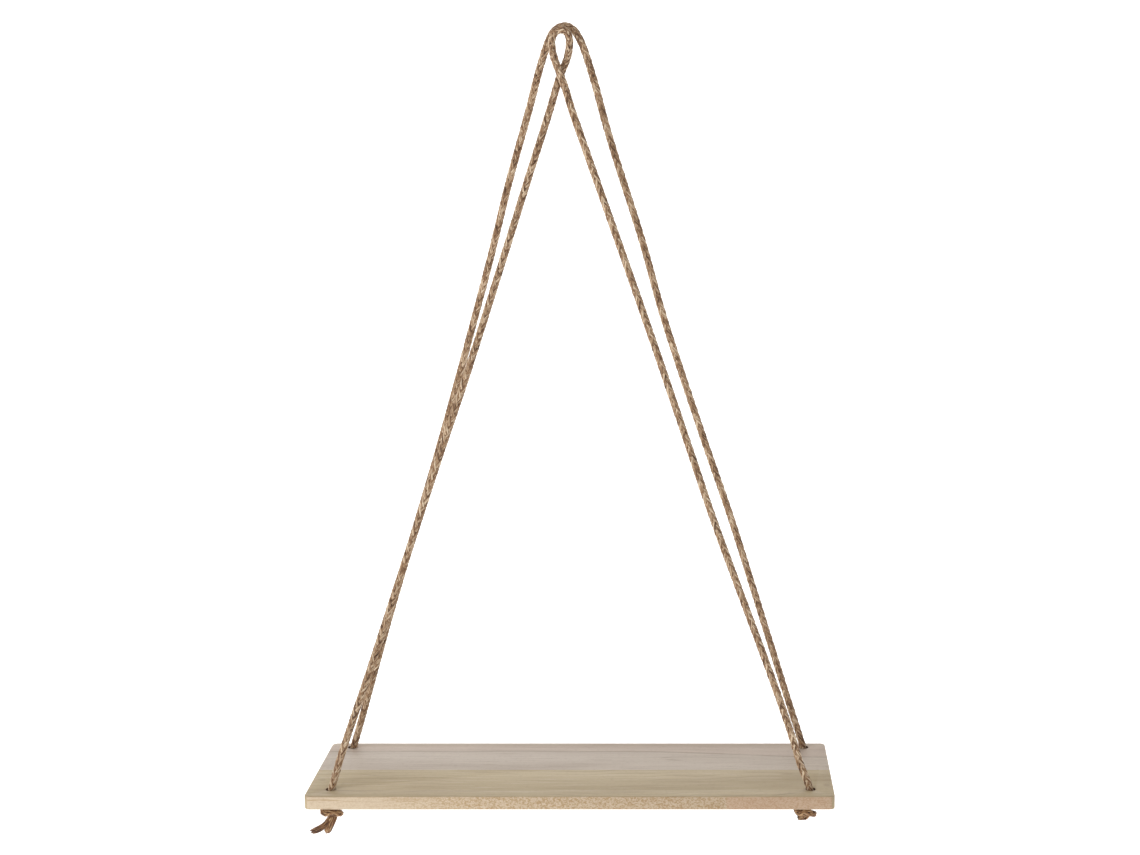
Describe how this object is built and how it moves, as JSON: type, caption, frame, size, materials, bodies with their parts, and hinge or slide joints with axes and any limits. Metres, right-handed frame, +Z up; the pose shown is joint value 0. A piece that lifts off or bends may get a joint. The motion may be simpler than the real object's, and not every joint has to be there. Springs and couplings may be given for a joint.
{
  "type": "rope wall shelf",
  "caption": "Wooden shelf board hung from braided jute cords that pass through holes near its corners, are knotted underneath and meet in a loop for a nail.",
  "frame": {"origin": "underside of the front cord's small loop, where it bears on the nail or peg", "axes": "+X to the right along the board, +Y towards the wall, +Z up"},
  "size_m": [0.5, 0.15, 0.7574],
  "materials": {
    "wood_board": "sanded and left unvarnished",
    "jute_cord": "braided jute, matt and hairy"
  },
  "bodies": {
    "root": {"board": "wood_board", "cord_back": "jute_cord", "cord_front": "jute_cord"}
  },
  "joints": []
}
